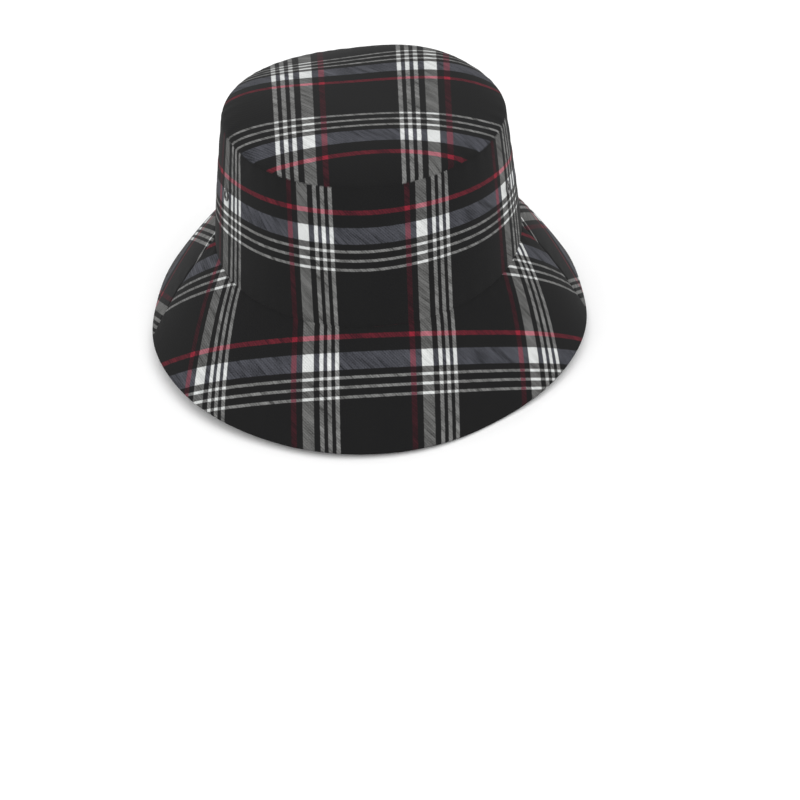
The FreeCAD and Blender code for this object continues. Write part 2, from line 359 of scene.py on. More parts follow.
class Wire:
    """A socket in a material. Arithmetic on it adds Math nodes."""

    def __init__(self, tree, socket=None):
        self.tree = tree
        self.socket = socket

    def node(self, kind, settings=None, inputs=None, output=0):
        """Adds a node: first its settings, then its sockets' values or links. Gives one output."""
        made = self.tree.nodes.new(kind)
        for name, value in (settings or {}).items():
            setattr(made, name, value)
        for key, value in (inputs or {}).items():
            if isinstance(value, Wire):
                self.tree.links.new(value.socket, made.inputs[key])
            else:
                made.inputs[key].default_value = value
        return Wire(self.tree, made.outputs[output] if len(made.outputs) else None)

    def maths(self, operation, *values, clamp=False):
        """Math node on numbers or wires."""
        return self.node("ShaderNodeMath", {"operation": operation, "use_clamp": clamp},
                         dict(enumerate(values)))

    def __add__(self, other):
        return self.maths("ADD", self, other)

    def __sub__(self, other):
        return self.maths("SUBTRACT", self, other)

    def __rsub__(self, other):
        return self.maths("SUBTRACT", other, self)

    def __mul__(self, other):
        return self.maths("MULTIPLY", self, other)

    def __truediv__(self, other):
        return self.maths("DIVIDE", self, other)

    __radd__ = __add__
    __rmul__ = __mul__

    def mix(self, first, second):
        """Colour between two, by this wire."""
        return self.node("ShaderNodeMix", {"data_type": "RGBA"}, {0: self, 6: first, 7: second}, 2)

    def noise(self, vector, scale, detail=2.0, roughness=0.5):
        """Noise value at a vector."""
        return self.node("ShaderNodeTexNoise", {}, {"Vector": vector, "Scale": scale,
                         "Detail": detail, "Roughness": roughness})


def colour(red, green, blue):
    """Linear colour from the usual 0 to 255 values."""
    def linear(value):
        value = value / 255
        return value / 12.92 if value <= 0.04045 else ((value + 0.055) / 1.055) ** 2.4
    return (linear(red), linear(green), linear(blue), 1.0)


def finish_material(tree, base, rough, height=None, bump=0.3, distance=0.0002, **fixed):
    """Principled shader from a colour, a roughness and a bump height. Fixed values are its own."""
    shader = tree.nodes.new("ShaderNodeBsdfPrincipled")
    for key, value in (("Base Color", base), ("Roughness", rough)):
        if isinstance(value, Wire):
            tree.links.new(value.socket, shader.inputs[key])
        else:
            shader.inputs[key].default_value = value
    for key, value in fixed.items():
        shader.inputs[key.replace("_", " ")].default_value = value
    if height is not None:
        bumped = height.node("ShaderNodeBump", {}, {"Strength": bump, "Distance": distance,
                                                    "Height": height})
        tree.links.new(bumped.socket, shader.inputs["Normal"])
    output = tree.nodes.new("ShaderNodeOutputMaterial")
    tree.links.new(shader.outputs[0], output.inputs[0])


def start_material(name):
    """Empty material and a wire to build it with."""
    made = bpy.data.materials.new(name)
    made.use_nodes = True
    made.node_tree.nodes.clear()
    return made, Wire(made.node_tree)


def stripe(place, middle, width, soft=0.006):
    """1 inside a stripe and 0 outside, with a soft edge, along a place from -0.25 to 0.75."""
    away = place.maths("ABSOLUTE", place - middle)
    return away.maths("ADD", (width / 2 - away) / soft, 0.5, clamp=True)


# Plaid: middles and widths of its stripes as shares of the repeat, from the red line on
WARP_RED = (0.0, 0.046)
WARP_BAND = (0.1235, 0.097)
WARP_LINES = (0.238, 0.304, 0.370)
WARP_LINE = 0.033
WEFT_RED = (0.0, 0.038)
WEFT_BAND = (0.1915, 0.137)
WEFT_LINES = (0.322, 0.399, 0.477)
WEFT_LINE = 0.0225
RIB_PITCH = 0.00155                 # metres across the twill's ribs


def plaid_material():
    """Printed twill: grey and red stripes both ways on near-black, white where greys cross, a
    fine diagonal in the greys, and the twill's own ribs in the bump."""
    made, wire = start_material("plaid_twill")
    cloth = wire.node("ShaderNodeUVMap", {"uv_map": "cloth"})
    right = wire.node("ShaderNodeSeparateXYZ", {}, {0: cloth})
    up = Wire(wire.tree, right.socket.node.outputs[1])
    unit = REPEAT * MM
    wobble = (wire.noise(cloth, 420.0, 1.0) - 0.5) * 0.006
    across = wire.maths("FRACT", right / unit + 0.25 + wobble) - 0.25
    downward = wire.maths("FRACT", 0.25 + wobble - up / unit) - 0.25
    warp_red = stripe(across, *WARP_RED)
    warp_band = stripe(across, *WARP_BAND)
    warp_lines = sum(stripe(across, middle, WARP_LINE) for middle in WARP_LINES)
    weft_red = stripe(downward, *WEFT_RED)
    weft_band = stripe(downward, *WEFT_BAND)
    weft_lines = sum(stripe(downward, middle, WEFT_LINE) for middle in WEFT_LINES)

    # Twill: diagonal ribs, and a slow moire of them that shows as faint streaks
    rib = wire.maths("SINE", (right + up) * (FULL_TURN / RIB_PITCH)) * 0.5 + 0.5
    slant = wire.node("ShaderNodeCombineXYZ", {}, {0: (right + up) * 420.0, 1: (right - up) * 50.0})
    broad = wire.node("ShaderNodeCombineXYZ", {}, {0: (right + up) * 190.0, 1: (right - up) * 22.0})
    streak = wire.noise(slant, 1.0, 2.0) * 0.6 + wire.noise(broad, 1.0, 1.0) * 0.4
    grain = wire.noise(cloth, 1500.0, 2.0)
    hatch = rib * 0.22 + streak * 1.8 - 0.58 + (grain - 0.5) * 0.8
    patch = wire.noise(cloth, 45.0, 2.0)

    ground = (patch * 0.55 + grain * 0.45).mix(colour(18, 18, 19), colour(28, 28, 28))
    red_warp = hatch.mix(colour(28, 19, 21), colour(60, 26, 32))
    red_weft = hatch.mix(colour(44, 20, 26), colour(104, 33, 43))
    grey = hatch.mix(colour(48, 48, 47), colour(114, 114, 113))
    slate = hatch.mix(colour(30, 31, 34), colour(84, 85, 92))
    line = hatch.mix(colour(58, 58, 57), colour(136, 136, 135))
    white = hatch.mix(colour(168, 170, 169), colour(222, 224, 223))
    bright_red = hatch.mix(colour(96, 26, 38), colour(156, 38, 54))
    pink = hatch.mix(colour(118, 70, 78), colour(186, 114, 124))
    dusky = hatch.mix(colour(76, 44, 52), colour(126, 72, 82))

    warp_pale = warp_band + warp_lines
    weft_pale = weft_band + weft_lines
    shade = warp_red.mix(ground, red_warp)
    shade = weft_red.mix(shade, red_weft)
    shade = (warp_red * weft_red).mix(shade, bright_red)
    shade = warp_band.mix(shade, grey)
    shade = warp_lines.mix(shade, line)
    shade = (weft_band * (1 - warp_pale)).mix(shade, slate)
    shade = (weft_lines * (1 - warp_pale)).mix(shade, line)
    shade = (weft_red * warp_pale).mix(shade, pink)
    shade = (warp_red * weft_pale).mix(shade, dusky)
    shade = (warp_pale * weft_pale).mix(shade, white)

    height = rib * 0.7 + grain * 0.5
    rough = 0.80 + patch * 0.1 + grain * 0.06
    finish_material(wire.tree, shade, rough, height, 0.35, 0.00012,
                    Specular_IOR_Level=0.10, Sheen_Weight=0.02, Sheen_Roughness=0.5)
    return made


def woven_material(name, dark, light, pitch, ribbed=0.0, bump=0.4, rough=0.85):
    """Plain or ribbed weave on the piece's own place: two crossed sets of threads, uneven in
    colour, with slow patches."""
    made, wire = start_material(name)
    place = wire.node("ShaderNodeTexCoord", {}, {}, 3)
    parts = wire.node("ShaderNodeSeparateXYZ", {}, {0: place})
    x, y, z = [Wire(wire.tree, output) for output in parts.socket.node.outputs]
    around = x.maths("ARCTAN2", x, y) * 0.088
    first = wire.maths("SINE", (around + z * ribbed) * (FULL_TURN / pitch))
    second = wire.maths("SINE", (z - around * ribbed) * (FULL_TURN / pitch))
    weave = first * second * 0.5 + 0.5
    grain = wire.noise(place, 1800.0, 2.0)
    patch = wire.noise(place, 60.0, 2.0)
    shade = (weave * 0.4 + grain * 0.35 + patch * 0.25).mix(dark, light)
    height = weave * 0.7 + grain * 0.6
    finish_material(wire.tree, shade, rough - 0.05 + patch * 0.1, height, bump, 0.00012,
                    Specular_IOR_Level=0.2, Sheen_Weight=0.08, Sheen_Roughness=0.5)
    return made


def felted_material(name, dark, light):
    """Non-woven: matted fibres in every direction."""
    made, wire = start_material(name)
    place = wire.node("ShaderNodeTexCoord", {}, {}, 3)
    fibres = wire.noise(place, 900.0, 6.0, 0.7)
    clumps = wire.noise(place, 160.0, 3.0)
    shade = (fibres * 0.6 + clumps * 0.4).mix(dark, light)
    finish_material(wire.tree, shade, 0.85 + clumps * 0.1, fibres, 0.5, 0.0002,
                    Specular_IOR_Level=0.2)
    return made


def thread_material():
    """Polyester thread: a fine slanting twist with a slight gloss."""
    made, wire = start_material("sewing_thread")
    place = wire.node("ShaderNodeTexCoord", {}, {}, 3)
    wave = wire.node("ShaderNodeTexWave", {"bands_direction": "DIAGONAL"},
                     {"Vector": place, "Scale": 900.0, "Distortion": 1.5, "Detail": 1.0}, 1)
    shade = wave.mix(colour(20, 20, 21), colour(52, 52, 54))
    finish_material(wire.tree, shade, 0.45 + wave * 0.2, wave, 0.5, 0.00008,
                    Specular_IOR_Level=0.4)
    return made


def satin_material():
    """Satin ribbon: long floats along it, slightly uneven, with a soft shine."""
    made, wire = start_material("label_satin")
    place = wire.node("ShaderNodeTexCoord", {}, {}, 3)
    long = wire.node("ShaderNodeMapping", {}, {"Vector": place, "Scale": (5200.0, 5200.0, 260.0)})
    floats = wire.noise(long, 1.0, 3.0)
    patch = wire.noise(place, 120.0, 2.0)
    shade = (floats * 0.7 + patch * 0.3).mix(colour(206, 205, 200), colour(238, 237, 233))
    finish_material(wire.tree, shade, 0.32 + floats * 0.2, floats, 0.3, 0.00005,
                    Specular_IOR_Level=0.5)
    return made


def enamel_material():
    """Black enamel on brass: satin, slightly uneven, rubbed thin in fine specks."""
    made, wire = start_material("black_metal")
    place = wire.node("ShaderNodeTexCoord", {}, {}, 3)
    cloud = wire.noise(place, 700.0, 4.0, 0.6)
    specks = wire.noise(place, 2600.0, 3.0, 0.7)
    rubbed = wire.maths("MULTIPLY", (specks - 0.66) * 9.0, 1.0, clamp=True)
    shade = cloud.mix(colour(10, 10, 11), colour(24, 24, 25))
    shade = (rubbed * 0.4).mix(shade, colour(84, 74, 56))
    finish_material(wire.tree, shade, 0.30 + cloud * 0.25, cloud, 0.15, 0.0001,
                    Specular_IOR_Level=0.55, Coat_Weight=0.25, Coat_Roughness=0.25)
    return made


MATERIALS = {
    "plaid_twill": plaid_material(),
    "lining_cotton": woven_material("lining_cotton", colour(22, 22, 23), colour(40, 40, 42), 0.0007),
    "band_cotton": woven_material("band_cotton", colour(18, 18, 19), colour(36, 36, 38), 0.0011, 0.7),
    "interlining": felted_material("interlining", colour(196, 193, 186), colour(232, 230, 225)),
    "sewing_thread": thread_material(),
    "label_satin": satin_material(),
    "black_metal": enamel_material(),
}


def add(piece, finish, *nodes):
    """A finished piece rides on the hat, takes its finish and stands for its CAD nodes."""
    piece.data.materials.clear()
    piece.data.materials.append(MATERIALS[finish])
    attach(piece, "root")
    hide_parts(*nodes)
    return piece


def cut(flat):
    """Takes a piece of cloth's flat pattern, a grid of points or one closed outline, and finds its
    rim in metres; nothing is kept or returned."""
    rim = flat if flat.ndim == 2 else np.concatenate(
        [flat[:-1, 0], flat[-1, :-1], flat[:0:-1, -1], flat[0, :0:-1]])
    x, y = (rim * MM).T


def rectangle(width, length):
    """Outline of a plain strip."""
    return np.array([(0, 0), (width, 0), (width, length), (0, length)], float)


# ---------------------------------------------------------------- crown

# How the print lies on each panel: the numbers of print_place, to the right and up
PRINTS = {
    "side_back": ((-0.372, 0.979, -0.002, 0.051, -0.031), (-0.979, -0.016, 0.995, 0.016, -0.030)),
    "side_front": ((-0.372, 0.974, 0.0, 0.0, 0.0), (-0.978, 0.0, 0.990, 0.0, 0.0)),
    "brim_back": ((-0.376, 0.985, -0.010, 0.030, -0.018), (0.066, -0.009, 0.926, 0.028, 0.026)),
    "brim_front": ((0.163, 1.024, 0.0, 0.0, 0.0), (0.428, -0.025, 0.930, 0.0, 0.0)),
    "under_back": ((-0.08, 0.968, 0.0, 0.0, 0.0), (0.20, 0.0, 0.968, 0.0, 0.0)),
    "under_front": ((0.18, 0.968, 0.0, 0.0, 0.0), (0.32, 0.0, 0.968, 0.0, 0.0)),
    "tip": ((-0.320, -0.919, -0.031, 0.054, 0.040), (-0.836, 0.035, -0.775, -0.013, 0.027)),
}
MIDDLES = {"back": 0.0, "front": math.pi}
SIDE_LENGTH = 286.0                 # of a side panel, along it
BRIM_LENGTH = 350.0                 # of a brim panel, along its edge


def side_grid(end, share, spacing=1.5):
    """Turns and shares of a crown side panel, from its right seam to its left one, seen from
    inside, and each point's distance from the nearer side seam."""
    across = spread(SIDE_LENGTH, spacing) / SIDE_LENGTH
    gap = SEAM_GAP / SEAM_HALF[0]
    start = MIDDLES[end] - math.pi / 2 + gap
    turn = start + (math.pi - 2 * gap) * across
    turn, share = np.meshgrid(turn, share, indexing="ij")
    away = np.minimum(across, 1 - across)[:, None] * SIDE_LENGTH
    return turn, share, away


def brim_grid(end, share, spacing=1.6):
    """Turns and shares of a brim panel between its slanting side seams, and distances from the
    nearer seam."""
    across = spread(BRIM_LENGTH, spacing) / BRIM_LENGTH
    left = np.radians(BRIM_SEAM_LEFT[0] + (BRIM_SEAM_LEFT[1] - BRIM_SEAM_LEFT[0]) * share)
    right = np.radians(BRIM_SEAM_RIGHT[0] + (BRIM_SEAM_RIGHT[1] - BRIM_SEAM_RIGHT[0]) * share)
    gap = SEAM_GAP / (SEAM_HALF[0] + BRIM_REACH * share)
    if end == "back":
        start, stop = right + gap, left - gap
    else:
        start, stop = left + gap, right + FULL_TURN - gap
    turn = start[None, :] + (stop - start)[None, :] * across[:, None]
    away = np.minimum(across, 1 - across)[:, None] * BRIM_LENGTH
    return turn, np.broadcast_to(share, turn.shape), away


def make_tip():
    """Domed tip: it dips at its seam and puckers slightly beside it."""
    inner_part = np.sin(np.linspace(0.02, 1, 34) ** 0.9 * math.pi / 2 * 0.86)
    rim = 1 - spread(20, 2.0)[:12][::-1] / TIP_REACH
    share = np.unique(np.concatenate([inner_part[inner_part < rim[0] - 0.01], rim]))
    turn = np.linspace(0, FULL_TURN, 361)[:-1]
    turn, share = np.meshgrid(turn, share, indexing="ij")
    away = (1 - share) * TIP_REACH
    drawn = pucker(away, turn * TIP_RADIUS) + turned_in(away, 0.35, 0.9)
    outer = layer(tip_face, turn, share, drawn)
    inner = layer(tip_face, turn, share, CLOTH + drawn * 0.6)
    flat = flat_tip(turn, share)
    prints = print_place(flat, *PRINTS["tip"])
    cloth = add(panel("tip_cloth", outer, inner, prints, closed=True, pole=True),
                "plaid_twill", "crown_tip")
    cut(flat[:, -1])


def make_sides():
    """Two side panels: they roll under at every seam, and have the eyelets' holes."""
    for end in ("front", "back"):
        down = spread(SIDE_HEIGHT, 1.6)
        turn, share, away = side_grid(end, down / SIDE_HEIGHT)
        high = share * SIDE_HEIGHT
        low = SIDE_HEIGHT - high
        along = turn * SIDE_RADIUS
        drawn = (turned_in(away, 0.45) + turned_in(high, 0.3) + turned_in(low, 0.18)
                 + pucker(high, along) + pucker(low, along + 40) + pucker(away, high + 11, 0.2))
        outer = layer(side_face, turn, share, drawn)
        inner = layer(side_face, turn, share, CLOTH + drawn * 0.5)
        flat = flat_side(turn, share, MIDDLES[end])
        prints = print_place(flat, *PRINTS["side_" + end])
        cloth = panel("side_cloth_" + end, outer, inner, prints)
        punch(cloth)
        add(cloth, "plaid_twill", "crown_side_" + end)
        cut(flat)


# ---------------------------------------------------------------- eyelets

# Turn in degrees and share down the side, then radii and thicknesses
EYELETS = {"left_front": (110.0, 0.42), "left_back": (66.2, 0.40),
           "right_front": (-110.0, 0.42), "right_back": (-70.2, 0.44)}
EYELET_BORE = 1.6
EYELET_BARREL = 2.1
EYELET_FLANGE = 3.4
WALL_HOLE = 2.25
WASHER = 0.4
FLARE = 0.35


def eyelet_frame(place):
    """Foot on the outer face, and three unit directions: two along the cloth, one outward."""
    turn = np.array([math.radians(place[0])])
    share = np.array([place[1]])
    foot = side_face(turn, share)[0]
    out = foot - layer(side_face, turn, share, np.array([1.0]))[0]
    first = np.cross([0, 0, 1], out)
    first /= np.linalg.norm(first)
    return foot, first, np.cross(out, first), out


def turned_piece(name, profile, place, sides=40):
    """Round piece: a closed profile of (radius, distance outward) carried about the eyelet's
    axis."""
    foot, first, second, out = eyelet_frame(place)
    angle = np.arange(sides) / sides * FULL_TURN
    ray = np.cos(angle)[:, None] * first + np.sin(angle)[:, None] * second
    radius, height = np.array(profile).T
    rings = foot + ray[:, None] * radius[None, :, None] + out * height[None, :, None]
    return hoop(name, rings)


def eyelet_profile():
    """Rolled head that comes down on the cloth, then the barrel to its flared inner end."""
    roll = np.linspace(0, math.pi, 11)
    width = EYELET_FLANGE - EYELET_BORE
    inside = -(LINING_DEPTH + LINING + WASHER + FLARE)
    head = [(EYELET_BORE + width / 2 * (1 - math.cos(step)), 0.12 + 0.62 * math.sin(step) ** 0.8)
            for step in roll]
    under = [(EYELET_FLANGE - 0.15, 0.05), (EYELET_BARREL + 0.3, 0.05), (EYELET_BARREL, -0.1)]
    barrel = [(EYELET_BARREL, inside + 0.3), (EYELET_BARREL + 0.35, inside + 0.05),
              (EYELET_BARREL + 0.3, inside - 0.1), (EYELET_BORE + 0.15, inside),
              (EYELET_BORE, inside + 0.3), (EYELET_BORE, -0.1)]
    return head + under + barrel


def make_eyelets():
    """Four eyelets with a washer behind each."""
    near = -(LINING_DEPTH + LINING + 0.08)
    far = near - WASHER
    washer = [(EYELET_BARREL + 0.05, near), (EYELET_BARREL + 0.05, far),
              (EYELET_BARREL + 0.3, far - 0.1), (EYELET_FLANGE - 0.2, far - 0.06),
              (EYELET_FLANGE, far + 0.15), (EYELET_FLANGE, near)]
    for name, place in EYELETS.items():
        add(turned_piece("vent_eyelet_" + name, eyelet_profile()[::-1], place),
            "black_metal", "eyelet_" + name)
        add(turned_piece("vent_washer_" + name, washer, place),
            "black_metal", "eyelet_washer_" + name)


def punch(cloth):
    """Round holes through a panel where the eyelets go."""
    tools = []
    angle = np.arange(32) / 32 * FULL_TURN
    for name, place in EYELETS.items():
        foot, first, second, out = eyelet_frame(place)
        ray = np.cos(angle)[:, None] * first + np.sin(angle)[:, None] * second
        rings = np.stack([foot + ray * WALL_HOLE + out * height for height in (4, -5)])
        tool = hoop("punch_" + name, rings, closed=False)
        tools.append(tool)
        hole = cloth.modifiers.new("hole_" + name, "BOOLEAN")
        hole.operation = "DIFFERENCE"
        hole.solver = "EXACT"
        hole.object = tool
    graph = bpy.context.evaluated_depsgraph_get()
    result = bpy.data.meshes.new_from_object(cloth.evaluated_get(graph))
    cloth.modifiers.clear()
    old = cloth.data
    cloth.data = result
    bpy.data.meshes.remove(old)
    for tool in tools:
        mesh = tool.data
        bpy.data.objects.remove(tool)
        bpy.data.meshes.remove(mesh)


# ---------------------------------------------------------------- brim

SEWN_IN = (-0.9, -0.45)             # rows of the upper cloth that go in under the crown


def brim_upper(end):
    """Upper cloth: down the brim, round its edge in a half circle, and a short way back. Each
    row has its share, how far back from the edge it lies, and its depth, outside and inside."""
    radius = BRIM_THICKNESS / 2
    down = np.concatenate([SEWN_IN, spread(BRIM_LAID, 1.7)])
    down = down[down < BRIM_LAID - radius - 0.2]
    arc = np.linspace(0, math.pi, 9)
    tuck = np.linspace(0.3, TURNED_EDGE, 4)
    level = np.zeros(len(down))
    share = np.concatenate([down / BRIM_LAID, np.ones(len(arc) + len(tuck))])
    back_out = np.concatenate([level, radius - radius * np.sin(arc), radius + tuck])
    back_in = np.concatenate([level, radius - (radius - CLOTH) * np.sin(arc), radius + tuck])
    deep_out = np.concatenate([level, radius - radius * np.cos(arc),
                               np.full(len(tuck), BRIM_THICKNESS)])
    deep_in = np.concatenate([level + CLOTH, radius - (radius - CLOTH) * np.cos(arc),
                              np.full(len(tuck), BRIM_THICKNESS - CLOTH)])
    turned = BRIM_LAID - radius + radius * arc
    laid = np.concatenate([down, turned, turned[-1] + tuck])

    turn, whole, away = brim_grid(end, share)
    wide = brim_width(turn)
    from_seam = whole * wide
    from_edge = (1 - whole) * wide
    top = np.arange(len(share)) < len(down)
    drawn = (turned_in(away, 0.4) + turned_in(from_seam, 0.2, 0.8)
             + pucker(away, from_seam, 0.18) + pucker(from_seam, turn * SEAM_RADIUS, 0.16)
             + 0.5 * pucker(from_edge, turn * EDGE_RADIUS, 0.14, 4.0)) * top
    outer = layer(brim_face, turn, whole - back_out / wide, deep_out + drawn)
    inner = layer(brim_face, turn, whole - back_in / wide, deep_in + drawn * 0.5)
    flat = flat_brim(turn, np.broadcast_to(laid / BRIM_LAID, turn.shape), MIDDLES[end])
    prints = print_place(flat, *PRINTS["brim_" + end])
    cloth = add(panel("brim_upper_cloth_" + end, outer, inner, prints), "plaid_twill",
                "brim_top_" + end)
    cut(flat)


def brim_under(end):
    """Under cloth: from the seam to the turned edge of the upper one, drawn in at its seams."""
    length = BRIM_LAID - BRIM_THICKNESS / 2 - TURNED_EDGE - 0.2
    turn, share, away = brim_grid(end, spread(length, 2.2) / BRIM_LAID, 2.4)
    drawn = turned_in(away, 0.4) + pucker(share * BRIM_LAID, turn * SEAM_RADIUS, 0.12)
    outer = layer(brim_face, turn, share, UNDER_DEPTH)
    inner = layer(brim_face, turn, share, BRIM_THICKNESS - drawn * 0.6)
    flat = flat_brim(turn, share, MIDDLES[end])
    prints = print_place(flat, *PRINTS["under_" + end])
    cloth = add(panel("brim_under_cloth_" + end, outer, inner, prints), "plaid_twill",
                "brim_under_" + end)
    cut(flat)


def brim_stiffener(end):
    """Interlining between the two cloths, short of the seam and of the edge."""
    turn, share, away = brim_grid(end, np.linspace(2.5, BRIM_LAID - 5.5, 30) / BRIM_LAID, 3.5)
    deep = CLOTH + 0.35
    cloth = add(panel("brim_stiffener_" + end, layer(brim_face, turn, share, deep),
                      layer(brim_face, turn, share, deep + INTERLINING - 0.1)),
                "interlining", "brim_interlining_" + end)
    cut(flat_brim(turn, share, MIDDLES[end]))


def make_brim():
    """Two halves of three layers."""
    for end in ("front", "back"):
        brim_upper(end)
        brim_under(end)
        brim_stiffener(end)


# ---------------------------------------------------------------- inside

def make_lining():
    """Thin cotton bag: its own tip and two sides."""
    turn = np.linspace(0, FULL_TURN, 241)[:-1]
    share = np.sin(np.linspace(0.03, 1, 36) * math.pi / 2) * (1 - 1.0 / TIP_REACH)
    turn, share = np.meshgrid(turn, share, indexing="ij")
    slack = 0.35 * np.sin(turn * 6 + 5 * share) * share * (1 - share) ** 0.5
    cloth = add(panel("lining_tip_cloth", layer(tip_face, turn, share, 1.45 + slack),
                      layer(tip_face, turn, share, 1.45 + LINING + slack), closed=True, pole=True),
                "lining_cotton", "lining_tip")
    cut(flat_tip(turn, share)[:, -1])
    for end in ("front", "back"):
        down = 0.9 + spread(SIDE_HEIGHT - 0.9 - 0.3, 2.4)
        turn, share, away = side_grid(end, down / SIDE_HEIGHT, 2.4)
        high = share * SIDE_HEIGHT
        slack = (0.25 * np.sin(turn * 14 + 0.05 * high) ** 2 + turned_in(away, 0.3, 1.5)
                 + 0.12 * (1 + np.sin(turn * 52))) * np.clip((high - 2) / 8, 0, 1)
        slack = slack * np.clip((SIDE_HEIGHT - BAND_HEIGHT - high) / 6, 0, 1)
        cloth = panel("lining_side_cloth_" + end,
                      layer(side_face, turn, share, LINING_DEPTH + 0.1 + slack * 0.4),
                      layer(side_face, turn, share, LINING_DEPTH + 0.1 + LINING + slack * 0.4))
        punch(cloth)
        add(cloth, "lining_cotton", "lining_side_" + end)
        cut(flat_side(turn, share, MIDDLES[end]))


def band_share(height):
    """Share down the sides at a height over the brim seam."""
    return 1 - height / SIDE_HEIGHT


def make_band():
    """Sweatband: cotton folded over at its top, round a tape, with a row of stitches."""
    leg = np.linspace(0.3, BAND_HEIGHT - 1.0, 17)
    half = BAND_THICKNESS / 2
    fold = np.linspace(0, math.pi, 9)
    level = np.ones(len(leg))
    height = np.concatenate([leg, BAND_HEIGHT - half + half * np.sin(fold), leg[::-1]])
    inner_height = np.concatenate([leg, BAND_HEIGHT - half + (half - BAND_CLOTH) * np.sin(fold),
                                   leg[::-1]])
    depth = np.concatenate([level * BAND_DEPTH, BAND_DEPTH + half - half * np.cos(fold),
                            level * (BAND_DEPTH + BAND_THICKNESS)])
    inner_depth = np.concatenate([
        level * (BAND_DEPTH + BAND_CLOTH),
        BAND_DEPTH + half - (half - BAND_CLOTH) * np.cos(fold),
        level * (BAND_DEPTH + BAND_THICKNESS - BAND_CLOTH)])
    turn = np.linspace(0, FULL_TURN, 421)[:-1]
    grid, heights = np.meshgrid(turn, height, indexing="ij")
    facing_head = np.concatenate([level * 0, np.linspace(0, 1, len(fold)), level])
    swell = facing_head * (0.12 * np.sin(grid * 23 + heights * 0.2) + 0.1 * np.sin(grid * 61)
                           * np.exp(-heights / 5))
    outer = layer(side_face, grid, band_share(heights), depth + swell)
    inner = layer(side_face, grid, band_share(np.broadcast_to(inner_height, grid.shape)),
                  inner_depth + swell)
    cloth = add(panel("sweatband_cloth", outer[::-1], inner[::-1], closed=True), "band_cotton",
                "sweatband")
    cut(rectangle(BAND_ROUND, 2 * BAND_HEIGHT + 1.0))

    rows = np.linspace(4.0, BAND_HEIGHT - 1.2, 14)
    grid, heights = np.meshgrid(turn[::2], rows, indexing="ij")
    first = BAND_DEPTH + BAND_CLOTH + 0.15
    cloth = add(panel("sweatband_tape_strip", layer(side_face, grid, band_share(heights), first),
                      layer(side_face, grid, band_share(heights), first + TAPE - 0.05),
                      closed=True), "interlining", "sweatband_tape")
    cut(rectangle(BAND_ROUND, rows[-1] - rows[0]))


def make_labels():
    """Blank satin ribbons: one on the sweatband at the back, one on the lining at the left. Each
    has its middle turn, the radius there, its foot, its size, its depth and what it is sewn to."""
    for name, middle, radius, low, size, depth, node, sewn_to in (
            ("size_ribbon", 0.0, 95.0, 8.0, (12.0, 16.0), BAND_DEPTH + BAND_THICKNESS + 0.2,
             "size_label", "sweatband"),
            ("care_ribbon", math.pi / 2, 80.0, 31.5, (24.0, 34.0), LINING_DEPTH + LINING + 0.75,
             "care_label", "lining_side_front")):
        half = size[0] / 2 / radius
        turn = np.linspace(middle - half, middle + half, 19)
        rows = np.linspace(low, low + size[1], 23)[::-1]
        grid, heights = np.meshgrid(turn, rows, indexing="ij")
        side = (grid - middle) / half
        free = (low + size[1] - heights) / size[1]
        lift = 0.5 * free * side ** 2 + 0.35 * free ** 2 + 0.1 * np.sin(side * 3 + free * 5) * free
        cloth = add(panel(name, layer(side_face, grid, band_share(heights), depth + lift),
                          layer(side_face, grid, band_share(heights), depth + LABEL + lift)),
                    "label_satin", node)
        cut(rectangle(*size))


def thread_tube(name, path, closed):
    """Thread along a path: a round section square to the path at every point."""
    ahead = np.roll(path, -1, 0) - np.roll(path, 1, 0)
    if not closed:
        ahead[0], ahead[-1] = path[1] - path[0], path[-1] - path[-2]
    ahead /= np.linalg.norm(ahead, axis=1, keepdims=True)
    upward = np.array([0.05, 0.02, 1.0]) if closed else np.array([1.0, 0.3, 0.0])
    first = np.cross(ahead, upward)
    first /= np.linalg.norm(first, axis=1, keepdims=True)
    second = np.cross(ahead, first)
    angle = np.arange(6) / 6 * FULL_TURN
    rings = (path[:, None] + first[:, None] * np.cos(angle)[None, :, None] * THREAD_RADIUS
             + second[:, None] * np.sin(angle)[None, :, None] * THREAD_RADIUS)
    return hoop(name, rings[:, ::-1], closed)


def make_threads():
    """Threads of the closed seams, which lie between the layers."""
    turn = np.linspace(0, FULL_TURN, 241)[:-1]
    for name, face, share, depth, node in (
            ("tip_seam_stitching", side_face, 1.2 / SIDE_HEIGHT, 0.98, "tip_seam_thread"),
            ("lining_tip_stitching", side_face, 2.6 / SIDE_HEIGHT, 1.98, "lining_tip_thread"),
            ("crown_brim_stitching", side_face, 1 - 0.7 / SIDE_HEIGHT, 0.98, "crown_brim_thread"),
            ("brim_edge_stitching", brim_face, 1 - 3.4 / BRIM_LAID, 1.5, "brim_edge_thread")):
        path = layer(face, turn, np.full_like(turn, share), np.full_like(turn, depth))
        add(thread_tube(name, path, closed=True), "sewing_thread", node)
    down = np.linspace(0, 1, 40)
    for side, sign in (("left", 1), ("right", -1)):
        for name, face, low, high, depth, node in (
                ("side_seam_stitching_", side_face, 0.04, 0.96, 0.98, "side_seam_thread_"),
                ("lining_seam_stitching_", side_face, 0.07, 0.95, 1.98, "lining_seam_thread_"),
                ("brim_seam_stitching_", brim_face, 0.02, 0.9, 1.5, "brim_seam_thread_")):
            share = low + (high - low) * down
            if face is side_face:
                turn = np.full_like(share, sign * math.pi / 2)
            else:
                at = BRIM_SEAM_LEFT if side == "left" else BRIM_SEAM_RIGHT
                turn = np.radians(at[0] + (at[1] - at[0]) * share)
            path = layer(face, turn, share, np.full_like(share, depth))
            add(thread_tube(name + side, path, closed=False), "sewing_thread", node + side)


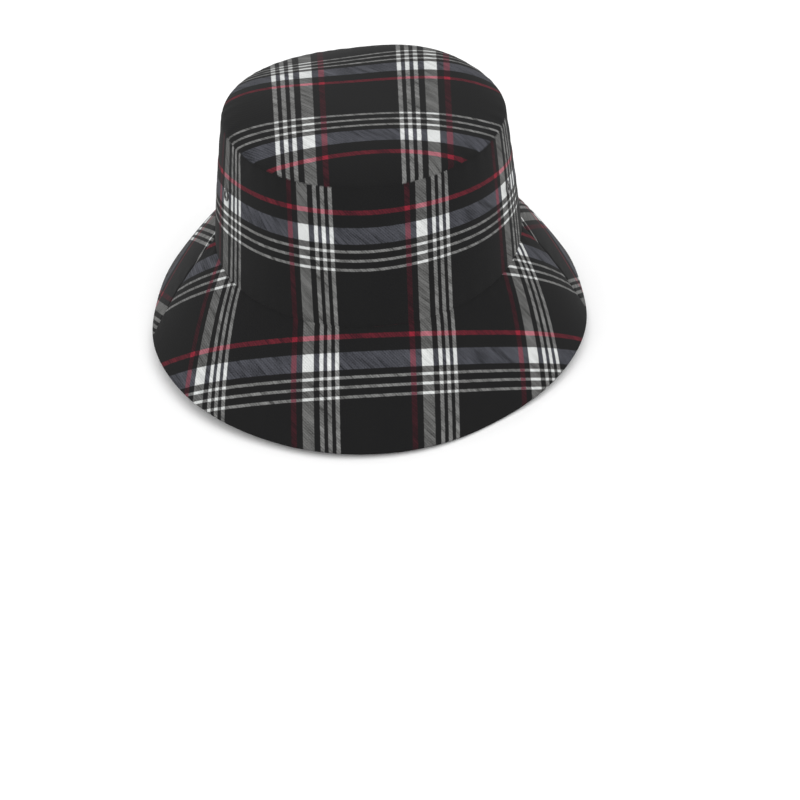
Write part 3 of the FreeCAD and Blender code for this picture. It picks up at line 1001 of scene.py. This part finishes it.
def make_band_stitches():
    """Row of lock stitches along the foot of the sweatband: each is a short bar that curves
    into the cloth at both ends."""
    count = 192
    length = 2.5
    radius = 90
    bend = np.linspace(0, 1, 7)
    middle = np.arange(count) / count * FULL_TURN
    turn = middle[:, None] + (bend - 0.5)[None, :] * length / radius
    sink = 0.45 * np.abs(2 * bend - 1) ** 4
    depth = np.broadcast_to(BAND_DEPTH + BAND_THICKNESS + 0.12 - sink, turn.shape)
    share = np.full_like(turn, band_share(1.9))
    path = layer(side_face, turn, share, depth)
    inward = path - layer(side_face, turn, share, depth - 1)
    angle = np.arange(6) / 6 * FULL_TURN
    section = (inward[:, :, None] * np.cos(angle)[None, None, :, None]
               + np.array([0, 0, 1.0]) * np.sin(angle)[None, None, :, None])
    points = path[:, :, None] + section * STITCH_RADIUS
    rings = len(bend)
    index = np.arange(count * rings * 6).reshape(count, rings, 6)
    round_index = np.concatenate([index, index[:, :, :1]], 2)
    quads = np.stack([round_index[:, :-1, :-1], round_index[:, 1:, :-1],
                      round_index[:, 1:, 1:], round_index[:, :-1, 1:]], -1).reshape(-1, 4)
    rows = list(quads) + list(index[:, 0, :]) + list(index[:, -1, ::-1])
    add(mesh_object("sweatband_stitches", points.reshape(-1, 3), rows), "sewing_thread",
        "sweatband_thread")


# ---------------------------------------------------------------- stage

def make_stage(floor_level):
    """Pale floor and soft studio lights."""
    half = 4.0
    floor = bpy.data.meshes.new("floor")
    floor.from_pydata([(-half, -half, floor_level), (half, -half, floor_level),
                       (half, half, floor_level), (-half, half, floor_level)], [], [(0, 1, 2, 3)])
    stage = bpy.data.objects.new("floor", floor)
    bpy.context.scene.collection.objects.link(stage)
    made, wire = start_material("pale_floor")
    finish_material(wire.tree, (0.92, 0.92, 0.92, 1.0), 0.9, Specular_IOR_Level=0.1)
    floor.materials.append(made)

    world = bpy.data.worlds.new("studio")
    world.use_nodes = True
    sky = world.node_tree.nodes["Background"]
    sky.inputs[0].default_value = (1.0, 1.0, 1.0, 1.0)
    sky.inputs[1].default_value = 1.0
    bpy.context.scene.world = world
    for name, place, size, energy in (("key", (-0.7, 1.3, 1.5), 1.4, 9.0),
                                      ("fill", (1.4, 1.0, 1.0), 1.4, 4.0),
                                      ("top", (0.0, -0.3, 1.9), 1.8, 6.0)):
        lamp = bpy.data.lights.new(name, "AREA")
        lamp.size = size
        lamp.energy = energy
        light = bpy.data.objects.new(name, lamp)
        aim = Matrix.Translation(place) @ aim_at(place, (0, 0, 0.06))
        light.matrix_world = aim
        bpy.context.scene.collection.objects.link(light)
    bpy.context.scene.view_settings.view_transform = "Standard"
    bpy.context.scene.view_settings.look = "None"


def aim_at(place, target):
    """Rotation that points -Z from a place to a target."""
    direction = Vector(target) - Vector(place)
    return direction.to_track_quat("-Z", "Y").to_matrix().to_4x4()


# Distance in millimetres, angles in degrees, lens in millimetres
CAMERA = {"distance": 862.9, "elevation": 31.4, "roll": -2.445, "yaw": -0.39,
          "lens": 68.56, "aim": (-0.0207, 0.1149)}


def make_camera():
    """Camera behind and above the hat. The aim is where the middle of the brim seam sits in the
    view, as tangents right and up."""
    raised, roll, yaw = [math.radians(CAMERA[key]) for key in ("elevation", "roll", "yaw")]
    turned = np.array([[math.cos(yaw), -math.sin(yaw), 0], [math.sin(yaw), math.cos(yaw), 0],
                       [0, 0, 1]])
    rolled = np.array([[math.cos(roll), 0, -math.sin(roll)], [0, 1, 0],
                       [math.sin(roll), 0, math.cos(roll)]])
    across, along, upright = rolled @ turned
    toward = along * math.cos(raised) + upright * math.sin(raised)
    axes = np.stack([-across, upright * math.cos(raised) - along * math.sin(raised), -toward])
    ahead = np.array([*CAMERA["aim"], 1.0])
    ahead /= np.linalg.norm(ahead)
    right = np.cross([0, 1, 0], ahead)
    right /= np.linalg.norm(right)
    above = np.cross(ahead, right)
    frame_axes = np.stack([right, above, ahead], 1)
    right, above, ahead = frame_axes @ axes
    place = (np.array([0, 0, SEAM_LEVEL]) + toward * CAMERA["distance"]) * MM
    lens = bpy.data.cameras.new("camera")
    lens.lens = CAMERA["lens"]
    lens.sensor_width = 36.0
    camera = bpy.data.objects.new("camera", lens)
    pose = Matrix.Identity(4)
    for row in range(3):
        pose[row][0], pose[row][1], pose[row][2] = right[row], above[row], -ahead[row]
        pose[row][3] = place[row]
    camera.matrix_world = pose
    bpy.context.scene.collection.objects.link(camera)
    bpy.context.scene.camera = camera


make_camera()
make_tip()
make_sides()
make_brim()
make_lining()
make_band()
make_band_stitches()
make_labels()
make_threads()
make_eyelets()
low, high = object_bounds()
make_stage(low[2] - FLOOR_GAP)
